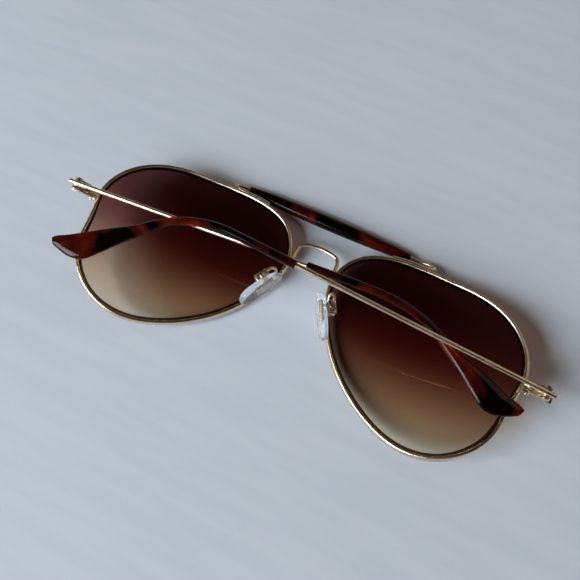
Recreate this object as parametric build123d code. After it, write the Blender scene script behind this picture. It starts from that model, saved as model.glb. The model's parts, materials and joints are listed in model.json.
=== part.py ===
from build123d import *
import math
import os

# Folded aviator sunglasses, lying on their lens fronts. Millimetres and degrees.
# +X is the wearer's right, +Y is up the face (towards the brow bar), +Z is towards the wearer.
# The origin is on the table plane, half way between the lenses, at the height of their centres.
# Paired pieces are made for the wearer's right and mirrored in the YZ plane for the left.

# Lenses and rims
LENS_PITCH = 75.0  # between the two lens centres
FRONT_RADIUS = 88.0  # front surface of a base 6 lens
LENS_THICKNESS = 2.0
FACE_FORM = 7.4  # each lens leans back at its temple side
EYE_LIFT = FRONT_RADIUS * (1 - math.cos(math.radians(FACE_FORM)))  # puts the lens fronts on the table
EYE_OUTLINE = [  # middle line of the right rim wire, from its lens centre, temple side at +x
    (29.4, 0.0), (26.0, 14.8), (15.85, 22.05), (0.0, 24.65), (-14.4, 24.5), (-24.75, 20.45), (-29.65, 10.9),
    (-26.9, 0.1), (-19.4, -11.1), (-7.6, -20.45), (4.5, -25.4), (16.7, -24.1), (26.0, -15.3),
]
OUTLINE_STEPS = 24
CONE_BASE = -1.0  # height of the cone that cuts the lens, below the lens front
RIM_WIDTH = 1.1  # across the wire, in the plane of the lens
RIM_DEPTH = 1.9
RIM_ROUNDING = 0.5
LENS_INSET = 0.12  # the tip of the lens bevel, inside the rim's middle line
BEVEL = (0.5, 0.8)  # across the edge, and along the thickness on each side
GROOVE = (0.05, 0.16, 0.72, 1.12)  # tip depth and half width, mouth depth and half width
RIM_OPENING = 0.01944  # where the rim opens to take the lens, as a share of its length
RIM_GAP = 0.25

# Bridge and brow bar
BRIDGE_WIRE = 1.2
BRIDGE_HALF = [(6.75, 11.0, 4.0), (6.5, 13.4, 3.9), (6.45, 15.6, 3.6), (5.7, 17.6, 3.3), (3.0, 18.7, 3.1)]
BRIDGE_TOP = (0.0, 18.95, 3.0)
BROW_WIRE = 1.1
BROW_HOOK = [  # from the soldered end on the rim, round the hairpin, to the straight part
    (20.4, 25.05, 4.5), (25.5, 25.6, 4.6), (30.5, 25.85, 4.5), (32.9, 26.9, 3.7), (31.0, 27.95, 2.6),
    (27.0, 28.0, 1.85),
]
BROW_SLEEVE_SECTIONS = [  # distance along the bar from the middle of the sleeve, height, thickness
    (-27.0, 2.5, 2.3), (-20.0, 3.5, 2.9), (-9.0, 4.3, 3.4), (0.0, 4.5, 3.5),
    (9.0, 4.3, 3.4), (20.0, 3.5, 2.9), (27.0, 2.5, 2.3),
]
SLEEVE_ROUNDING = 0.3
BROW_SLEEVE_SHIFT = -2.0  # the sleeve sits a little to the wearer's left on its wire

# Hinges and rim locks, wearer's right. The hinge frame has its origin on the pin, +y along it.
HINGE_AT = (72.0, 2.75, 14.5)
PANTOSCOPIC = 6.0  # the open temples slope down by this
HINGE_LEAN = 2.4  # the folded temples slope up towards the brow by this
EAR_GAP = 1.5
EAR_THICKNESS = 0.9
EAR_RADIUS = 1.3
EAR_FOOT = (-3.4, 0.35)  # inner and outer end of the plate that joins the ears
EAR_BASE = 0.75  # thickness of that plate
EAR_SHOULDER = (0.3, -1.2)  # heights where each ear's sloping edge starts and ends
STOP_DROP = 2.15  # endpiece top below the pin: the open temple's butt end lands here
ENDPIECE_END = 2.4
ENDPIECE_SLOPE = [(-3.4, -2.15), (-4.5, -2.5), (-5.58, -3.0)]  # top, from the flat seat to the rim
ENDPIECE_BOTTOM = [(-5.58, -5.0), (-3.9, -4.75), (-2.4, -3.7), (2.4, -3.3)]
ENDPIECE_WIDTH = 3.2
LOCK_END = -3.1  # outer end of the lower half of the rim lock
LOCK_BOX = ((-5.58, -3.2), (-1.65, -0.125), (-5.0, -2.95))
LOCK_ROUNDING = 0.5
LOCK_SCREW_AT = (-4.0, -3.85)
LOCK_SCREW = 0.42
PIN = 0.45
FIXED = 0.02  # radial clearance of a screw in a still hole
RUNNING = 0.03  # radial clearance of a moving bore
KNUCKLE_RADIUS = 1.15
KNUCKLE_PLAY = 0.04
KNUCKLE_NECK = 1.8  # how far the neck runs along the temple wire past the barrel
HEAD = (1.75, 0.45)  # screw head radius as a multiple of the shank's, and its height
HEAD_ROUNDING = 0.15
SLOT = (0.24, 0.22)  # width and depth
THROUGH = 3.0  # half length of a hole that goes right through
CLEAR = 12.0  # side of a block that cuts away everything on one side

# Temples
TEMPLE_WIRE = 1.35
CORE_WIRE = 1.1  # the part of the wire inside the sleeve
WIRE_OFFSET = 1.5  # the wire's middle line stands this far off the pin
BUTT = 2.0  # how far the wire's end passes the pin
CORE_END = 131.0
TEMPLE_LENGTH = 142.5
INWARD_BOW = 4.5  # how far the tip curves in towards the head
BOW_START = 60.0
# How each temple is set: resting fold angle, own lean, bend start, bend radius, bend angle
RIGHT_SET = (6.2, -0.63, 92.5, 31.0, 40.5)
LEFT_SET = (1.2, 1.28, 91.5, 50.0, 28.8)
SLEEVE_START = 73.2
SLEEVE_WIDTH = 2.5
PADDLE_SECTIONS = [  # distance along the temple, height, thickness, shift to the outside of the bend
    (109.0, 2.48, 2.48, 0.0), (113.5, 2.8, 2.45, -0.25), (118.0, 3.4, 2.4, -0.55), (122.5, 4.3, 2.4, -0.65),
    (126.0, 5.3, 2.4, -0.7), (129.5, 6.35, 2.4, -0.85), (132.5, 7.1, 2.4, -0.95), (135.0, 7.5, 2.35, -0.95),
    (137.2, 7.1, 2.25, -0.5), (139.3, 5.95, 2.1, 0.42), (141.0, 4.3, 1.8, 1.5), (142.4, 2.2, 1.2, 2.4),
]
WIRE_STATIONS = [20, 40, 60, 75]
CORE_STATIONS = [80, 88, 95, 102, 109, 116, 124]
SLEEVE_STATIONS = [82, 90, 96, 103, 110]
STEP = 0.5  # distance along the temple over which its direction is taken

# Nose pads, wearer's right. The pad frame has its origin on the screw: +x down the pad, +y along
# the screw, +z towards the nose.
PAD_AT = (10.9, 2.0, 7.7)
PAD_FRONTAL = 29.0  # how far the pads spread towards their lower ends
PAD_TURN = 80.0  # how far the pads turn from facing straight back to facing the nose
PAD_OUTLINE = [
    (7.1, 0.4), (5.5, 2.5), (1.5, 3.4), (-3.0, 3.1), (-6.3, 1.7), (-6.9, -0.6), (-5.0, -2.5), (0.0, -3.3),
    (4.8, -2.8), (6.8, -1.3),
]
PAD_SHIFT = 2.3  # pad centre, down the pad from the screw
PAD_FACE = (1.6, 2.3)  # height of the pad's back above the screw, and its thickness
PAD_ROUNDING = 0.8
BOX_LENGTH = 4.2
BOX_WIDTH = 2.9
BOX_HEIGHT = (-1.2, 0.9)
BOX_WALL = 0.42
BOX_ROUNDING = 0.5
PAD_SCREW = 0.35
LUG_RADIUS = 0.68
LUG_PLAY = 0.1  # between the lug and each wall of the box
CORE_PLATE = (6.0, 3.0, 0.5)
CORE_FIT = 0.01  # the pad's cavity is this much bigger than its core
ARM_WIRE = 0.9
ARM_PATH = [
    (9.8, 0.45, 3.2), (9.3, 2.5, 3.9), (8.85, 5.0, 4.7), (8.9, 6.4, 5.7), (9.85, 6.2, 6.7),
    (10.86, 4.5, 6.85), (12.15, 2.3, 6.85),
]

RIGHT_EYE = Location((LENS_PITCH / 2, 0, EYE_LIFT), (0, -FACE_FORM, 0))
LENS_MIDDLE_RADIUS = FRONT_RADIUS - LENS_THICKNESS / 2
HINGE = Pos(*HINGE_AT) * Rot(PANTOSCOPIC, 0, -HINGE_LEAN)
PAD = Pos(*PAD_AT) * Rot(0, 0, PAD_FRONTAL - 90) * Rot(PAD_TURN, 0, 0)


def mirrored(shape):
    """The wearer's left piece made from the right one."""
    return mirror(shape, about=Plane.YZ)


def tube(path, diameter):
    """Round wire along a path."""
    start = Plane(origin=path @ 0, z_dir=path % 0)
    return sweep(start * Circle(diameter / 2), path=path)


def pin(radius, start, end):
    """Round bar along +z."""
    return Pos(0, 0, start) * extrude(Circle(radius), end - start)


def along_y(shape):
    return Rot(-90, 0, 0) * shape


def slotted_screw(radius, start, end):
    """Screw along +z with its slotted head beyond the end."""
    head_radius = HEAD[0] * radius
    head = pin(head_radius, end, end + HEAD[1])
    rim = head.edges().filter_by(GeomType.CIRCLE).sort_by(Axis.Z)[-1]
    head = fillet(rim, HEAD_ROUNDING)
    slot = Pos(0, 0, end + HEAD[1]) * Box(3 * head_radius, SLOT[0], 2 * SLOT[1])
    return pin(radius, start, end) + head - slot


# ---- lenses and rims ----


def outline_point(share, inset=0.0):
    """Point on the rim's flat middle line, moved inwards by the inset. Share runs anticlockwise."""
    curve = Spline(*EYE_OUTLINE, periodic=True)
    point = curve @ (share % 1)
    along = curve % (share % 1)
    return Vector(point.X - along.Y * inset, point.Y + along.X * inset, 0)


def on_lens_middle(point):
    """Lifts a flat outline point to the sphere through the middle of the lens."""
    drop = math.sqrt(LENS_MIDDLE_RADIUS**2 - point.X**2 - point.Y**2)
    return Vector(point.X, point.Y, FRONT_RADIUS - drop)


def lens_cone():
    """Cone from the lens outline to the lens's centre of curvature: it cuts both faces squarely."""
    points = []
    for step in range(OUTLINE_STEPS):
        point = on_lens_middle(outline_point(step / OUTLINE_STEPS, LENS_INSET))
        spread = (FRONT_RADIUS - CONE_BASE) / (FRONT_RADIUS - point.Z)
        points.append((point.X * spread, point.Y * spread, CONE_BASE))
    return loft([make_face(Spline(*points, periodic=True)), Vertex(0, 0, FRONT_RADIUS)])


def right_lens():
    centre = Pos(0, 0, FRONT_RADIUS) * Rot(90, 0, 0)
    front = centre * Sphere(FRONT_RADIUS)
    back = centre * Sphere(FRONT_RADIUS - LENS_THICKNESS)
    blank = (lens_cone() & front) - back
    rims = blank.edges().sort_by(Edge.length)[-2:]
    side = blank.faces().sort_by(Face.area)[0]
    return RIGHT_EYE * chamfer(rims, length=BEVEL[1], length2=BEVEL[0], reference=side)


def rim_section():
    """Rounded bar with the V groove that holds the lens. +x is away from the lens."""
    tip, tip_half, mouth, mouth_half = GROOVE
    corners = [(-mouth, -mouth_half), (-mouth, mouth_half), (-tip, tip_half), (-tip, -tip_half)]
    return RectangleRounded(RIM_WIDTH, RIM_DEPTH, RIM_ROUNDING) - Polygon(*corners, align=None)


def right_rim():
    """Rim wire, open at the rim lock."""
    half_gap = RIM_GAP / 2 / Spline(*EYE_OUTLINE, periodic=True).length
    points = []
    for step in range(OUTLINE_STEPS + 1):
        share = RIM_OPENING + half_gap + (1 - 2 * half_gap) * step / OUTLINE_STEPS
        points.append(on_lens_middle(outline_point(share)))
    path = Spline(*points)
    inward = Vector(0, 0, FRONT_RADIUS) - path @ 0
    start = Plane(origin=path @ 0, x_dir=(path % 0).cross(inward), z_dir=path % 0)
    return RIGHT_EYE * sweep(start * rim_section(), path=path)


# ---- bridge and brow bar ----


def bridge_wire():
    left = [(-x, y, z) for x, y, z in reversed(BRIDGE_HALF)]
    return tube(Spline(*BRIDGE_HALF, BRIDGE_TOP, *left), BRIDGE_WIRE)


def brow_wire():
    """Straight wire with a hairpin at each end, which runs back along the rim it's soldered to."""
    hook = tube(Spline(*BROW_HOOK, tangents=[(1, 0.1, 0), (-1, 0, 0)]), BROW_WIRE)
    half_length, y, z = BROW_HOOK[-1]
    bar = Pos(-half_length, y, z) * (Rot(0, 90, 0) * pin(BROW_WIRE / 2, 0, 2 * half_length))
    return hook + mirrored(hook) + bar


def brow_sleeve():
    sections = []
    for along, height, thickness in BROW_SLEEVE_SECTIONS:
        origin = (BROW_SLEEVE_SHIFT + along, BROW_HOOK[-1][1], BROW_HOOK[-1][2])
        plane = Plane(origin=origin, x_dir=(0, 1, 0), z_dir=(1, 0, 0))
        sections.append(plane * Ellipse(height / 2, thickness / 2))
    sleeve = loft(sections)
    return fillet(sleeve.edges(), SLEEVE_ROUNDING)


# ---- hinge and rim lock ----


def lock_screw_hole():
    x, z = LOCK_SCREW_AT
    return Pos(x, 0, z) * along_y(pin(LOCK_SCREW + FIXED, -THROUGH, THROUGH))


def endpiece():
    """Arm from the rim to under the hinge, with the upper half of the rim lock."""
    slope = Spline(*[(x, 0, z) for x, z in ENDPIECE_SLOPE])
    seat = Line((ENDPIECE_END, 0, -STOP_DROP), slope @ 0)
    bottom = Spline(*[(x, 0, z) for x, z in ENDPIECE_BOTTOM])
    ends = [Line(slope @ 1, bottom @ 0), Line(bottom @ 1, seat @ 0)]
    side = make_face([seat, slope, bottom, *ends])
    arm = extrude(side, ENDPIECE_WIDTH / 2, dir=(0, 1, 0), both=True)
    lower = Pos(LOCK_END - CLEAR / 2, RIM_GAP / 2 - CLEAR / 2, 0) * Box(CLEAR, CLEAR, 2 * CLEAR)
    return HINGE * (arm - lower - lock_screw_hole())


def rim_lock():
    """Lower half of the rim lock."""
    (x0, x1), (y0, y1), (z0, z1) = LOCK_BOX
    block = Pos((x0 + x1) / 2, (y0 + y1) / 2, (z0 + z1) / 2) * Box(x1 - x0, y1 - y0, z1 - z0)
    block = fillet(block.edges().filter_by(Axis.Y).sort_by(Axis.X)[-2:], LOCK_ROUNDING)
    return HINGE * (block - lock_screw_hole())


def lock_screw():
    """Comes up through the lower half, so its head is below."""
    body = slotted_screw(LOCK_SCREW, -ENDPIECE_WIDTH / 2, -LOCK_BOX[1][0])
    return HINGE * (Pos(LOCK_SCREW_AT[0], 0, LOCK_SCREW_AT[1]) * (Rot(90, 0, 0) * body))


def hinge_ears():
    """Two ears on one base plate, soldered to the endpiece."""
    inboard, outboard = EAR_FOOT
    top, shoulder = EAR_SHOULDER
    foot = [(inboard, -STOP_DROP), (outboard, -STOP_DROP), (EAR_RADIUS, 0)]
    slope = [(-EAR_RADIUS, top), (inboard, shoulder)]
    side = Polygon(*foot, *slope, align=None) + Circle(EAR_RADIUS)
    width = EAR_GAP / 2 + EAR_THICKNESS
    block = extrude(Plane.XZ * side, width, both=True)
    gap_height = 2 * STOP_DROP
    gap_z = EAR_BASE - STOP_DROP + gap_height / 2
    gap = Pos(0, 0, gap_z) * Box(CLEAR, EAR_GAP, gap_height)
    return HINGE * (block - gap - along_y(pin(PIN + FIXED, -THROUGH, THROUGH)))


def hinge_screw():
    width = EAR_GAP / 2 + EAR_THICKNESS
    return HINGE * along_y(slotted_screw(PIN, -width, width))


# ---- temples ----


def temple_point(distance, setting):
    """Point on the wire's middle line in the temple frame: -x towards the tip, +y to the brow."""
    lean, bend_start, radius, bend = setting[1:]
    straight = min(distance, bend_start)
    arc = min(max(distance - bend_start, 0), radius * math.radians(bend))
    rest = distance - straight - arc
    turned = arc / radius
    along = straight + radius * math.sin(turned) + rest * math.cos(turned)
    drop = radius * (1 - math.cos(turned)) + rest * math.sin(turned)
    tilt = math.radians(lean)
    bow = max(0, distance - BOW_START) / (TEMPLE_LENGTH - BOW_START)
    x = -along * math.cos(tilt) - drop * math.sin(tilt)
    y = along * math.sin(tilt) - drop * math.cos(tilt)
    return Vector(x, y, WIRE_OFFSET - INWARD_BOW * bow**2)


def temple_frame(setting):
    return HINGE * Rot(0, setting[0], 0)


def temple_wire(setting):
    """Wire from the butt end to the sleeve, thinner inside the sleeve."""
    outside = [temple_point(distance, setting) for distance in [-BUTT, *WIRE_STATIONS]]
    marks = [WIRE_STATIONS[-1], *CORE_STATIONS, CORE_END]
    inside = [temple_point(distance, setting) for distance in marks]
    wire = tube(Spline(*outside), TEMPLE_WIRE)
    core = tube(Spline(*inside), CORE_WIRE)
    return temple_frame(setting) * (wire + core)


def temple_tip(setting):
    """Sleeve that widens into a paddle behind the ear."""
    marks = [SLEEVE_START, *SLEEVE_STATIONS]
    straight = tube(Spline(*[temple_point(mark, setting) for mark in marks]), SLEEVE_WIDTH)
    sections = []
    for distance, height, thickness, shift in PADDLE_SECTIONS:
        centre = temple_point(distance, setting)
        before = temple_point(distance - STEP, setting)
        ahead = (temple_point(distance + STEP, setting) - before).normalized()
        outward = Vector(0, 0, 1).cross(ahead).normalized() * -1
        plane = Plane(origin=centre + outward * shift, x_dir=outward, z_dir=ahead)
        sections.append(plane * Ellipse(height / 2, thickness / 2))
    start = straight.faces().sort_by_distance(temple_point(SLEEVE_START, setting))[0]
    return temple_frame(setting) * (fillet(start.edges(), SLEEVE_ROUNDING) + loft(sections))


def temple_knuckle(setting):
    """Middle knuckle, soldered under the temple wire."""
    width = EAR_GAP - 2 * KNUCKLE_PLAY
    barrel = along_y(pin(KNUCKLE_RADIUS, -width / 2, width / 2))
    neck_length = 2 * KNUCKLE_RADIUS + KNUCKLE_NECK
    neck = Pos(-KNUCKLE_NECK / 2, 0, WIRE_OFFSET / 2) * Box(neck_length, width, WIRE_OFFSET)
    bore = along_y(pin(PIN + RUNNING, -THROUGH, THROUGH))
    return temple_frame(setting) * (barrel + neck - bore)


# ---- nose pads ----


def pad_arm():
    return tube(Spline(*ARM_PATH), ARM_WIRE)


def pad_box():
    """Channel that holds the pad's lug, open towards the nose."""
    bottom, top = BOX_HEIGHT
    block = Pos(0, 0, (bottom + top) / 2) * Box(BOX_LENGTH, BOX_WIDTH, top - bottom)
    block = fillet(block.edges().filter_by(Axis.Z), BOX_ROUNDING)
    channel = Pos(0, 0, BOX_WALL + bottom + CLEAR / 2) * Box(CLEAR, BOX_WIDTH - 2 * BOX_WALL, CLEAR)
    return PAD * (block - channel - along_y(pin(PAD_SCREW + FIXED, -THROUGH, THROUGH)))


def pad_screw():
    return PAD * along_y(slotted_screw(PAD_SCREW, -BOX_WIDTH / 2, BOX_WIDTH / 2))


def core_shape(grow):
    """Lug with its plate inside the pad."""
    width = BOX_WIDTH - 2 * BOX_WALL - 2 * LUG_PLAY
    barrel = along_y(pin(LUG_RADIUS, -width / 2, width / 2))
    plate_z = PAD_FACE[0] + PAD_FACE[1] / 2
    neck = Pos(0, 0, plate_z / 2) * Box(2 * LUG_RADIUS + grow, width + grow, plate_z)
    plate = Box(CORE_PLATE[0] + grow, CORE_PLATE[1] + grow, CORE_PLATE[2] + grow)
    return barrel + neck + Pos(PAD_SHIFT / 2, 0, plate_z) * plate


def pad_core():
    return PAD * (core_shape(0) - along_y(pin(PAD_SCREW + RUNNING, -THROUGH, THROUGH)))


def nose_pad():
    """Soft pad moulded round its metal core."""
    outline = Spline(*[(x + PAD_SHIFT, y) for x, y in PAD_OUTLINE], periodic=True)
    pad = Pos(0, 0, PAD_FACE[0]) * extrude(make_face(outline), PAD_FACE[1])
    pad = fillet(pad.edges(), PAD_ROUNDING)
    return PAD * (pad - core_shape(CORE_FIT))


def main():
    right_pieces = {
        "lens": right_lens(),
        "rim": right_rim(),
        "endpiece": endpiece(),
        "rim_lock": rim_lock(),
        "lock_screw": lock_screw(),
        "hinge_ears": hinge_ears(),
        "hinge_screw": hinge_screw(),
        "pad_arm": pad_arm(),
        "pad_box": pad_box(),
        "pad_screw": pad_screw(),
        "pad_core": pad_core(),
        "nose_pad": nose_pad(),
    }
    pieces = {"bridge_wire": bridge_wire(), "brow_wire": brow_wire(), "brow_sleeve": brow_sleeve()}
    for name, shape in right_pieces.items():
        pieces[name + "_right"] = shape
        pieces[name + "_left"] = mirrored(shape)
    for make in [temple_wire, temple_tip, temple_knuckle]:
        pieces[make.__name__ + "_right"] = make(RIGHT_SET)
        pieces[make.__name__ + "_left"] = mirrored(make(LEFT_SET))
    os.makedirs("parts", exist_ok=True)
    for name, shape in pieces.items():
        export_step(shape, f"parts/{name}.step")


main()
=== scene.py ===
import json
import math

import bpy
import numpy as np
from mathutils import Matrix, Vector

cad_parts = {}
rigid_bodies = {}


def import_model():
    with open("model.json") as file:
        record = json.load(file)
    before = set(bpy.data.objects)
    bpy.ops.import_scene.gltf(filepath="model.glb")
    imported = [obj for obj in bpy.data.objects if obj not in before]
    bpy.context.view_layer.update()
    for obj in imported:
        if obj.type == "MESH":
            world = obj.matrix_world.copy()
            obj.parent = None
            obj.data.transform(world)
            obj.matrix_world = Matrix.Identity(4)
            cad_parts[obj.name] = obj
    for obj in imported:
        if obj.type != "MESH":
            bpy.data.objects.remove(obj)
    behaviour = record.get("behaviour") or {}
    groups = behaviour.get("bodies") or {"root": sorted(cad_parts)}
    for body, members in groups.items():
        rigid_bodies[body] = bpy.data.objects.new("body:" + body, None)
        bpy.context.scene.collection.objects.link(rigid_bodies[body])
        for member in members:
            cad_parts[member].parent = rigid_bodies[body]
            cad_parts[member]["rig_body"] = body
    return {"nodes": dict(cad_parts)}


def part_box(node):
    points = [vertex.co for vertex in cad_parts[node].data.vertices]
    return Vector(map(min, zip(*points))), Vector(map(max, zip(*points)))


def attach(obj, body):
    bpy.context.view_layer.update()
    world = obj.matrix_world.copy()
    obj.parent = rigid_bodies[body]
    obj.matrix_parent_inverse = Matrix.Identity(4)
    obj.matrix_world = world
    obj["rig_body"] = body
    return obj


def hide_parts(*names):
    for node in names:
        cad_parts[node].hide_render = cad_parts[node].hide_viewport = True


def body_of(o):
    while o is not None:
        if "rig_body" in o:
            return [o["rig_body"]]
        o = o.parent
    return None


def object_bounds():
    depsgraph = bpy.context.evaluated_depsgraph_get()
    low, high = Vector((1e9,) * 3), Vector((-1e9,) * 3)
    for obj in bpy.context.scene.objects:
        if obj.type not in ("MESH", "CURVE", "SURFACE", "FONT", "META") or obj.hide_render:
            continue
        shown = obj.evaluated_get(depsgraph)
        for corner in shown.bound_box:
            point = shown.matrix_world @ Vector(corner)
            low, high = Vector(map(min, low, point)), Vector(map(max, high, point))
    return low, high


# Folded aviator sunglasses, lying on their lens fronts on a painted table. Metres.
# +X is the wearer's right, +Y is up the face, +Z is towards the wearer.

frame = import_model()
cad_low, cad_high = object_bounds()

MM = 0.001
SIDES = ("right", "left")
UP_THE_FACE = (0, 1, 0)


# ---- node helpers ----


def new_material(name):
    material = bpy.data.materials.new(name)
    material.use_nodes = True
    material.node_tree.nodes.clear()
    return material


def add(tree, kind, settings=(), **inputs):
    """Adds a node. An input is a value or an output socket, keyed by its name with _ for a space, or by
    its number as i0, i1 and so on."""
    node = tree.nodes.new(kind)
    for key, value in dict(settings).items():
        setattr(node, key, value)
    for key, value in inputs.items():
        socket = node.inputs[int(key[1:]) if key[1:].isdigit() else key.replace("_", " ")]
        if isinstance(value, bpy.types.NodeSocket):
            tree.links.new(value, socket)
        else:
            socket.default_value = value
    return node


def maths(tree, operation, *values):
    """Result of one operation on numbers or sockets."""
    inputs = {"i" + str(index): value for index, value in enumerate(values)}
    return add(tree, "ShaderNodeMath", {"operation": operation}, **inputs).outputs[0]


def mix_shaders(tree, share, first, second):
    """The first shader where the share is 0, the second where it is 1."""
    return add(tree, "ShaderNodeMixShader", i0=share, i1=first.outputs[0], i2=second.outputs[0]).outputs[0]


def ramp(tree, share, stops, eased=True):
    """Colour ramp from a list of (place, colour)."""
    node = add(tree, "ShaderNodeValToRGB", Fac=share)
    node.color_ramp.interpolation = "EASE" if eased else "LINEAR"
    elements = node.color_ramp.elements
    while len(elements) < len(stops):
        elements.new(0.5)
    for element, (place, colour) in zip(elements, stops):
        element.position = place
        element.color = (*colour, 1)
    return node.outputs["Color"]


def scale_between(tree, value, low, high):
    """A value from 0 to 1, turned into one from low to high."""
    return add(tree, "ShaderNodeMapRange", i0=value, To_Min=low, To_Max=high).outputs["Result"]


def share_between(tree, value, low, high, interpolation="LINEAR"):
    """A value from low to high, turned into one from 0 to 1."""
    settings = {"interpolation_type": interpolation}
    return add(tree, "ShaderNodeMapRange", settings, i0=value, From_Min=low, From_Max=high).outputs["Result"]


def object_place(tree, scale=(1, 1, 1), turn=(0, 0, 0)):
    """Place on the piece, in metres times the scale."""
    place = add(tree, "ShaderNodeTexCoord").outputs["Object"]
    return add(tree, "ShaderNodeMapping", Vector=place, Scale=scale, Rotation=turn).outputs["Vector"]


def noise(tree, place, scale, detail=3.0, rough=0.5, distortion=0.0):
    """Noise with about so many cells to each unit of place."""
    node = add(tree, "ShaderNodeTexNoise", Vector=place, Scale=scale, Detail=detail, Roughness=rough,
               Distortion=distortion)
    return node.outputs[0]


def bump(tree, strength, distance, height):
    return add(tree, "ShaderNodeBump", Strength=strength, Distance=distance, Height=height).outputs[0]


def finish_tree(tree, shader, kind="ShaderNodeOutputMaterial"):
    output = tree.nodes.new(kind)
    tree.links.new(shader, output.inputs["Surface"])


# ---- metals ----

METAL_CLOUD = 180.0  # noise cells per metre, as in the other finishes
METAL_GRAIN = 2600.0
GRAIN_STRENGTH = 0.12
GRAIN_DEPTH = 0.02 * MM


def polished_metal(name, light, dark, polished, dull):
    """Plated wire with a slow change of tone and a fine polishing grain."""
    material = new_material(name)
    tree = material.node_tree
    place = object_place(tree)
    cloud = noise(tree, place, METAL_CLOUD)
    grain = noise(tree, place, METAL_GRAIN, detail=2.0)
    colour = ramp(tree, cloud, [(0.35, dark), (0.65, light)])
    metal = add(tree, "ShaderNodeBsdfPrincipled", Base_Color=colour, Metallic=1.0,
                Roughness=scale_between(tree, cloud, polished, dull),
                Normal=bump(tree, GRAIN_STRENGTH, GRAIN_DEPTH, grain))
    finish_tree(tree, metal.outputs[0])
    return material


# ---- tortoiseshell ----

SHELL_PATCHES = 110.0
SHELL_STREAKS = 420.0
SHELL_WAVES = 300.0
STREAK_SHARE = 0.20
WAVE_STRENGTH = 0.08
WAVE_DEPTH = 0.1 * MM
SHELL_COLOURS = [
    (0.52, (0.002, 0.0006, 0.0006)), (0.57, (0.024, 0.002, 0.0015)),
    (0.68, (0.05, 0.005, 0.0025)), (0.80, (0.10, 0.015, 0.006)),
]
SHELL_CLEARNESS = [(0.55, (0.0, 0.0, 0.0)), (0.78, (0.40, 0.40, 0.40))]
SHELL_LIGHT = (0.80, 0.17, 0.07, 1)  # what the clear red parts let through
SHELL_ROUGHNESS = 0.10
SHELL_IOR = 1.46
SHELL_SHINE = 0.24


def tortoiseshell(name, darker):
    """Polished acetate: red clouds in near-black brown, a little light passing the red."""
    material = new_material(name)
    tree = material.node_tree
    place = object_place(tree)
    patches = noise(tree, place, SHELL_PATCHES, detail=2.0, rough=0.45, distortion=0.6)
    streaks = noise(tree, place, SHELL_STREAKS, rough=0.55, distortion=0.3)
    mixed = maths(tree, "MULTIPLY_ADD", streaks, STREAK_SHARE, patches)
    share = maths(tree, "SUBTRACT", mixed, darker)
    waves = noise(tree, place, SHELL_WAVES)
    shell = add(tree, "ShaderNodeBsdfPrincipled", Base_Color=ramp(tree, share, SHELL_COLOURS),
                Roughness=SHELL_ROUGHNESS, IOR=SHELL_IOR, Specular_IOR_Level=SHELL_SHINE,
                Normal=bump(tree, WAVE_STRENGTH, WAVE_DEPTH, waves))
    through = add(tree, "ShaderNodeBsdfTransparent", Color=SHELL_LIGHT)
    finish_tree(tree, mix_shaders(tree, ramp(tree, share, SHELL_CLEARNESS), shell, through))
    return material


# ---- tinted lenses ----

EDGE_SHADE = "edge_shade"  # mesh attribute, 1 along the painted shade line at the edge of a lens
# painted shade: a dark colour laid along the edge of each lens, standing in for the rim's shadow and the
# light that the bevel bends away
PAINTED_EDGE_SHADE = (0.08, 0.05, 0.035, 1)
LENS_TINT = [  # share of light that each lens surface passes, from the cheek edge to the brow edge
    (0.05, (0.922, 0.849, 0.733)), (0.13, (0.871, 0.769, 0.636)), (0.21, (0.816, 0.685, 0.573)),
    (0.30, (0.721, 0.591, 0.487)), (0.38, (0.653, 0.501, 0.419)), (0.46, (0.567, 0.387, 0.334)),
    (0.54, (0.491, 0.285, 0.262)), (0.62, (0.460, 0.261, 0.249)), (0.78, (0.370, 0.208, 0.217)),
    (1.00, (0.355, 0.205, 0.195)),
]
LENS_IOR = 1.5
LENS_HAZE = 60.0
HAZE_ROUGHNESS = 0.02  # of the film, where the haze is thickest
FILM_COLOUR = (1, 0.96, 0.92, 1)


def tinted_lens(side):
    """Lens tint, dark red-brown at the brow and pale at the cheek, with painted shade along the edge, under
    a reflecting film.
    """
    material = new_material("tinted_lens_" + side)
    tree = material.node_tree
    low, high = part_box("lens_" + side)
    place = add(tree, "ShaderNodeTexCoord").outputs["Object"]
    split = add(tree, "ShaderNodeSeparateXYZ", Vector=place)
    height = share_between(tree, split.outputs["Y"], low.y, high.y)
    tint = ramp(tree, height, LENS_TINT, eased=False)
    haze = noise(tree, place, LENS_HAZE)
    film = add(tree, "ShaderNodeBsdfGlossy", Color=FILM_COLOUR,
               Roughness=scale_between(tree, haze, 0.0, HAZE_ROUGHNESS))
    edge = add(tree, "ShaderNodeAttribute", {"attribute_name": EDGE_SHADE}).outputs["Fac"]
    # the painted edge shade is mixed over the tint near the edge of the lens
    shaded = add(tree, "ShaderNodeMix", {"data_type": "RGBA"}, i0=edge, i6=tint, i7=PAINTED_EDGE_SHADE).outputs[2]
    clear = add(tree, "ShaderNodeBsdfTransparent", Color=shaded)
    mirror = add(tree, "ShaderNodeFresnel", IOR=LENS_IOR).outputs[0]
    inside = add(tree, "ShaderNodeNewGeometry").outputs["Backfacing"]
    share = maths(tree, "MULTIPLY", mirror, maths(tree, "SUBTRACT", 1.0, inside))
    finish_tree(tree, mix_shaders(tree, share, clear, film))
    return material


# ---- nose pads ----

PAD_CLOUD = 500.0
PAD_IOR = 1.38
PAD_GLASS = (0.93, 0.96, 0.98, 1)
PAD_MILK = (0.80, 0.85, 0.90, 1)
PAD_MILK_SHARE = 0.14
PAD_SHADOW = (0.90, 0.92, 0.94, 1)


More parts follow.
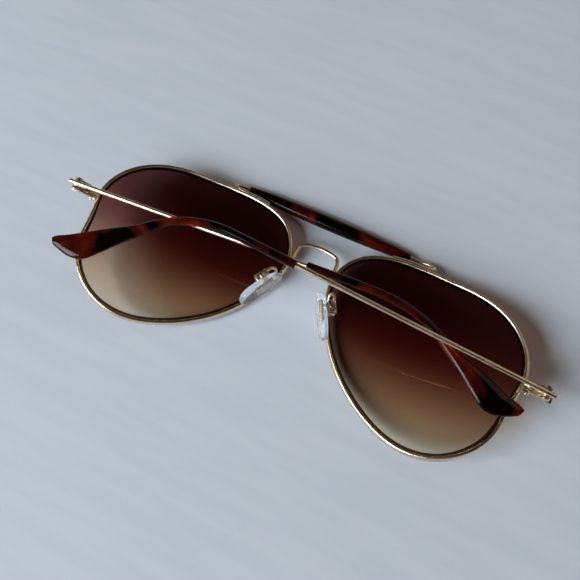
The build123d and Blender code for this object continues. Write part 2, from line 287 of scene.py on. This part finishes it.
def silicone():
    """Clear soft pad: bends light, and lets shadow rays through."""
    material = new_material("clear_silicone")
    tree = material.node_tree
    place = object_place(tree)
    soft = noise(tree, place, PAD_CLOUD)
    glass = add(tree, "ShaderNodeBsdfGlass", Color=PAD_GLASS, IOR=PAD_IOR,
                Roughness=scale_between(tree, soft, 0.04, 0.12))
    milk = add(tree, "ShaderNodeBsdfDiffuse", Color=PAD_MILK)
    cloudy = add(tree, "ShaderNodeMixShader", i0=PAD_MILK_SHARE, i1=glass.outputs[0], i2=milk.outputs[0])
    shadow = add(tree, "ShaderNodeBsdfTransparent", Color=PAD_SHADOW)
    path = add(tree, "ShaderNodeLightPath")
    finish_tree(tree, mix_shaders(tree, path.outputs["Is Shadow Ray"], cloudy, shadow))
    return material


# ---- table paint ----

BACKDROP = (0.62, 0.66, 0.70, 1)
FADE_START = 0.3  # distance from the origin where the table starts to turn into the backdrop
FADE_END = 1.3
BRUSH_STRETCH = (9, 70, 9)  # brush strokes are long along the table and narrow across it
BRUSH_TURN = math.radians(-24)
BRUSH_STROKES = 3.0
BRUSH_STRENGTH = 0.10
BRUSH_DEPTH = 0.4 * MM
PAINT_DARK = (0.555, 0.625, 0.715)
PAINT_LIGHT = (0.585, 0.655, 0.745)
PAINT_ROUGHNESS = 0.55
PAINT_SHINE = 0.35


def painted_table():
    """Brushed paint that fades into the backdrop far from the glasses."""
    material = new_material("painted_table")
    tree = material.node_tree
    place = object_place(tree, scale=BRUSH_STRETCH, turn=(0, 0, BRUSH_TURN))
    strokes = noise(tree, place, BRUSH_STROKES, detail=4.0, rough=0.6)
    coat = add(tree, "ShaderNodeBsdfPrincipled", Roughness=PAINT_ROUGHNESS, Specular_IOR_Level=PAINT_SHINE,
               Base_Color=ramp(tree, strokes, [(0.35, PAINT_DARK), (0.65, PAINT_LIGHT)]),
               Normal=bump(tree, BRUSH_STRENGTH, BRUSH_DEPTH, strokes))
    spot = add(tree, "ShaderNodeTexCoord").outputs["Object"]
    distance = add(tree, "ShaderNodeVectorMath", {"operation": "LENGTH"}, i0=spot).outputs["Value"]
    far = share_between(tree, distance, FADE_START, FADE_END, "SMOOTHSTEP")
    seen = add(tree, "ShaderNodeLightPath").outputs["Is Camera Ray"]
    backdrop = add(tree, "ShaderNodeEmission", Color=BACKDROP)
    finish_tree(tree, mix_shaders(tree, maths(tree, "MULTIPLY", far, seen), coat, backdrop))
    return material


gold = polished_metal("champagne_gold", (0.82, 0.70, 0.54), (0.74, 0.60, 0.43), 0.22, 0.32)
steel = polished_metal("screw_steel", (0.80, 0.78, 0.74), (0.70, 0.68, 0.64), 0.12, 0.26)
acetate = tortoiseshell("tortoiseshell", 0.0)
dark_acetate = tortoiseshell("dark_tortoiseshell", 0.07)
pad_silicone = silicone()


# ---- mesh helpers ----


def paint(obj, material):
    obj.data.materials.clear()
    obj.data.materials.append(material)


def shade(mesh, sharp_from):
    """Smooth shading, with creases at least this many degrees sharp."""
    mesh.shade_smooth()
    mesh.set_sharp_from_angle(angle=math.radians(sharp_from))


def new_object(name, data):
    obj = bpy.data.objects.new(name, data)
    bpy.context.scene.collection.objects.link(obj)
    return obj


def stand_for(piece, node):
    """The piece takes the place of a CAD node, on the node's body."""
    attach(piece, body_of(frame["nodes"][node])[0])
    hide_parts(node)


def unit(vectors):
    return vectors / np.linalg.norm(vectors, axis=-1, keepdims=True)


def skin(name, rings):
    """Closed mesh from rings of equal length. The first and last may be single points."""
    points, faces, starts = [], [], []
    for ring in rings:
        starts.append(len(points))
        points.extend(ring)
    for low, high, a, b in zip(rings, rings[1:], starts, starts[1:]):
        count = max(len(low), len(high))
        for i in range(count):
            j = (i + 1) % count
            if len(low) == 1:
                faces.append((a, b + j, b + i))
            elif len(high) == 1:
                faces.append((a + i, a + j, b))
            else:
                faces.append((a + i, a + j, b + j, b + i))
    mesh = bpy.data.meshes.new(name)
    mesh.from_pydata([tuple(point) for point in points], [], faces)
    mesh.validate()
    return new_object(name, mesh)


# ---- CAD nodes that stay as they are, with their finish ----

GOLD_KINDS = (
    "rim", "endpiece", "rim_lock", "hinge_ears", "pad_arm", "pad_box", "pad_core", "temple_wire",
    "temple_knuckle", "bridge_wire", "brow_wire",
)
STEEL_KINDS = ("lock_screw", "hinge_screw", "pad_screw")
EDGED_KINDS = ("endpiece", "rim_lock", "hinge_ears", "pad_box", "pad_core", "temple_knuckle")
WELD_DISTANCE = 0.002 * MM
EDGE_ROUNDING = 0.12 * MM
EDGE_SEGMENTS = 3
EDGE_ANGLE = 40  # degrees, and the next one
NODE_SHARP_FROM = 35


def soften_edges(obj):
    """Joins the faces and breaks the machined edges."""
    weld = obj.modifiers.new("weld", "WELD")
    weld.merge_threshold = WELD_DISTANCE
    bevel = obj.modifiers.new("bevel", "BEVEL")
    bevel.width = EDGE_ROUNDING
    bevel.segments = EDGE_SEGMENTS
    bevel.limit_method = "ANGLE"
    bevel.angle_limit = math.radians(EDGE_ANGLE)
    bevel.harden_normals = True


for name, node in frame["nodes"].items():
    kind = name.removesuffix("_right").removesuffix("_left")
    shade(node.data, NODE_SHARP_FROM)
    if kind in GOLD_KINDS:
        paint(node, gold)
    if kind in STEEL_KINDS:
        paint(node, steel)
    if kind in EDGED_KINDS:
        soften_edges(node)


# ---- lenses ----

LENS_AROUND = 160
LENS_SHARES = [step / 12 for step in range(1, 12)]
LENS_MARGINS = [  # distance in from the tip of the bevel, and how strong the painted edge shade is there
    (2.2 * MM, 0.0), (1.3 * MM, 0.0), (1.05 * MM, 0.05), (0.9 * MM, 0.95), (0.75 * MM, 1.0), (0.5 * MM, 1.0),
]
LENS_SHARP_FROM = 30  # degrees
TIP_BAND = 0.4 * MM  # how far from mid thickness the points of the bevel's tip may lie
TIP_HALF = 0.2 * MM
FACING = 0.8  # least z of a normal on the front or back surface


def sphere_through(points):
    """Centre and radius of the sphere that fits the points."""
    rows = np.hstack([2 * points, np.ones((len(points), 1))])
    fit = np.linalg.lstsq(rows, (points ** 2).sum(1), rcond=None)[0]
    centre = fit[:3]
    return centre, math.sqrt(fit[3] + centre @ centre)


def lens_frame(side):
    """Lens points, centre of curvature, front and back radius, and axes across, up and through."""
    mesh = frame["nodes"]["lens_" + side].data
    places = np.array([vertex.co for vertex in mesh.vertices], float)
    fronts = [face for face in mesh.polygons if face.normal.z < -FACING]
    front = sorted({index for face in fronts for index in face.vertices})
    centre, front_radius = sphere_through(places[front])
    distance = np.linalg.norm(places - centre, axis=1)
    low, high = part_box("lens_" + side)
    through = unit(np.array((low + high) / 2) - centre)
    across = unit(np.cross(UP_THE_FACE, through))
    return places, centre, front_radius, distance.min(), (across, np.cross(through, across), through)


def lens_outline(places, centre, middle_radius, axes):
    """The tip of the bevel at even turns, on the plane one unit from the centre of curvature."""
    offsets = places - centre
    on_tip = np.abs(np.linalg.norm(offsets, axis=1) - middle_radius) < TIP_BAND
    across, up, depth = (offsets[on_tip] @ np.array(axes).T).T
    across, up = across / depth, up / depth
    turn = np.arctan2(up, across)
    order = np.argsort(turn)
    even = np.arange(LENS_AROUND) * 2 * math.pi / LENS_AROUND - math.pi
    reach = np.interp(even, turn[order], np.hypot(across, up)[order], period=2 * math.pi)
    return np.stack([reach * np.cos(even), reach * np.sin(even)], 1)


def inset(outline, distance):
    """The closed outline moved inwards."""
    along = unit(np.roll(outline, -1, 0) - np.roll(outline, 1, 0))
    return outline + distance * np.stack([-along[:, 1], along[:, 0]], 1)


def make_lens(side):
    """A spherical shell with a bevelled edge, in the space of the CAD lens."""
    places, centre, front_radius, back_radius, axes = lens_frame(side)
    middle_radius = (front_radius + back_radius) / 2
    tip = lens_outline(places, centre, middle_radius, axes)

    def on_sphere(flat, radius):
        ahead = np.hstack([flat, np.ones((len(flat), 1))]) @ np.array(axes)
        return centre + radius * unit(ahead)

    inner = inset(tip, LENS_MARGINS[0][0] / middle_radius)
    flats = [(np.zeros((1, 2)), 0.0)] + [(inner * share, 0.0) for share in LENS_SHARES]
    flats += [(inset(tip, margin / middle_radius), dark) for margin, dark in LENS_MARGINS]
    darks = [dark for flat, dark in flats]
    rings = [on_sphere(flat, front_radius) for flat, dark in flats]
    rings += [on_sphere(tip, middle_radius + TIP_HALF), on_sphere(tip, middle_radius - TIP_HALF)]
    rings += [on_sphere(flat, back_radius) for flat, dark in reversed(flats)]
    # painted edge shade for each ring, full at the tip of the bevel
    ring_darks = darks + [1.0, 1.0] + darks[::-1]
    values = [dark for dark, ring in zip(ring_darks, rings) for point in ring]
    lens = skin("tinted_lens_" + side, rings)
    lens.data.attributes.new(EDGE_SHADE, "FLOAT", "POINT").data.foreach_set("value", values)
    shade(lens.data, LENS_SHARP_FROM)
    paint(lens, tinted_lens(side))
    stand_for(lens, "lens_" + side)


for side in SIDES:
    make_lens(side)


# ---- moulded and polished pieces ----

BROW_VOXEL = 0.22 * MM
SLEEVE_VOXEL = 0.18 * MM
PAD_VOXEL = 0.14 * MM
SLEEVE_ROUNDS = 8
PAD_ROUNDS = 10
RELAX_FACTOR = 0.5


def evaluated_mesh(obj):
    """The object's mesh with its modifiers applied."""
    graph = bpy.context.evaluated_depsgraph_get()
    return bpy.data.meshes.new_from_object(obj.evaluated_get(graph))


def moulded(name, node, voxel, rounds, material):
    """A closed, softly rounded piece in the space of a CAD node, which it stands for."""
    piece = new_object(name, frame["nodes"][node].data.copy())
    remesh = piece.modifiers.new("remesh", "REMESH")
    remesh.mode = "VOXEL"
    remesh.voxel_size = voxel
    relax = piece.modifiers.new("relax", "SMOOTH")
    relax.factor = RELAX_FACTOR
    relax.iterations = rounds
    mesh = evaluated_mesh(piece)
    piece.modifiers.clear()
    piece.data = mesh
    mesh.shade_smooth()
    paint(piece, material)
    stand_for(piece, node)


moulded("brow_bar_sleeve", "brow_sleeve", BROW_VOXEL, SLEEVE_ROUNDS, dark_acetate)
for side in SIDES:
    moulded("temple_sleeve_" + side, "temple_tip_" + side, SLEEVE_VOXEL, SLEEVE_ROUNDS,
            acetate)
    moulded("soft_pad_" + side, "nose_pad_" + side, PAD_VOXEL, PAD_ROUNDS, pad_silicone)


# ---- table ----

FLOOR_HALF = 3.0
FLOOR_GAP = 0.03 * MM  # keeps the floor under the lens fronts that touch it


def flat_sheet(name, half, height):
    mesh = bpy.data.meshes.new(name)
    corners = [(-half, -half, height), (half, -half, height), (half, half, height), (-half, half, height)]
    mesh.from_pydata(corners, [], [(0, 1, 2, 3)])
    return new_object(name, mesh)


floor = flat_sheet("floor", FLOOR_HALF, cad_low.z - FLOOR_GAP)
paint(floor, painted_table())


# ---- light ----

centre = (cad_low + cad_high) / 2
WORLD_GLOW = [(0.0, (0.98, 0.66, 0.38)), (0.35, (0.50, 0.35, 0.21)), (0.75, (0.02, 0.02, 0.02))]
WORLD_STRENGTH = 0.32


def area_light(name, offset, width, height, watts, colour):
    """Rectangular light at an offset from the middle of the glasses, aimed at them."""
    data = bpy.data.lights.new(name, "AREA")
    data.shape = "RECTANGLE"
    data.size = width
    data.size_y = height
    data.energy = watts
    data.color = colour
    place = centre + Vector(offset)
    lamp = new_object(name, data)
    lamp.location = place
    lamp.rotation_mode = "QUATERNION"
    lamp.rotation_quaternion = (centre - place).to_track_quat("-Z", "Y")


def surroundings():
    """A warm glow near the horizon for the glasses, and the plain backdrop for the camera."""
    world = bpy.data.worlds.new("surroundings")
    world.use_nodes = True
    tree = world.node_tree
    tree.nodes.clear()
    direction = add(tree, "ShaderNodeTexCoord").outputs["Generated"]
    split = add(tree, "ShaderNodeSeparateXYZ", Vector=direction)
    glow = ramp(tree, split.outputs["Z"], WORLD_GLOW)
    seen = add(tree, "ShaderNodeBackground", Color=BACKDROP, Strength=1.0)
    lit = add(tree, "ShaderNodeBackground", Color=glow, Strength=WORLD_STRENGTH)
    path = add(tree, "ShaderNodeLightPath")
    both = mix_shaders(tree, path.outputs["Is Camera Ray"], lit, seen)
    finish_tree(tree, both, "ShaderNodeOutputWorld")
    bpy.context.scene.world = world


area_light("window", (-1.0, -1.2, 1.1), 1.25, 1.1, 49.0, (0.98, 0.99, 1.02))
area_light("sky", (0.9, 1.2, 1.5), 1.2, 1.2, 3.0, (1.0, 0.84, 0.60))
surroundings()
bpy.context.scene.view_settings.view_transform = "Standard"


# ---- camera ----

CAMERA_FROM_ORIGIN = Vector((33.85, -54.95, 196.88)) * MM
CAMERA_RIGHT = (0.8976, 0.4392, -0.038)
CAMERA_DOWN = (0.4031, -0.8526, -0.3326)
CAMERA_AHEAD = (-0.1785, 0.2832, -0.9423)
FOCAL_LENGTH = 43.45  # millimetres, as is the sensor's width
SENSOR_WIDTH = 36.0
NEAR_CLIP = 0.01
FAR_CLIP = 20.0

camera_data = bpy.data.cameras.new("camera")
camera_data.lens = FOCAL_LENGTH
camera_data.sensor_width = SENSOR_WIDTH
camera_data.clip_start = NEAR_CLIP
camera_data.clip_end = FAR_CLIP
camera = new_object("camera", camera_data)
camera_turn = Matrix((CAMERA_RIGHT, -Vector(CAMERA_DOWN), -Vector(CAMERA_AHEAD))).transposed()
camera.matrix_world = Matrix.Translation(CAMERA_FROM_ORIGIN) @ camera_turn.to_4x4()
bpy.context.scene.camera = camera
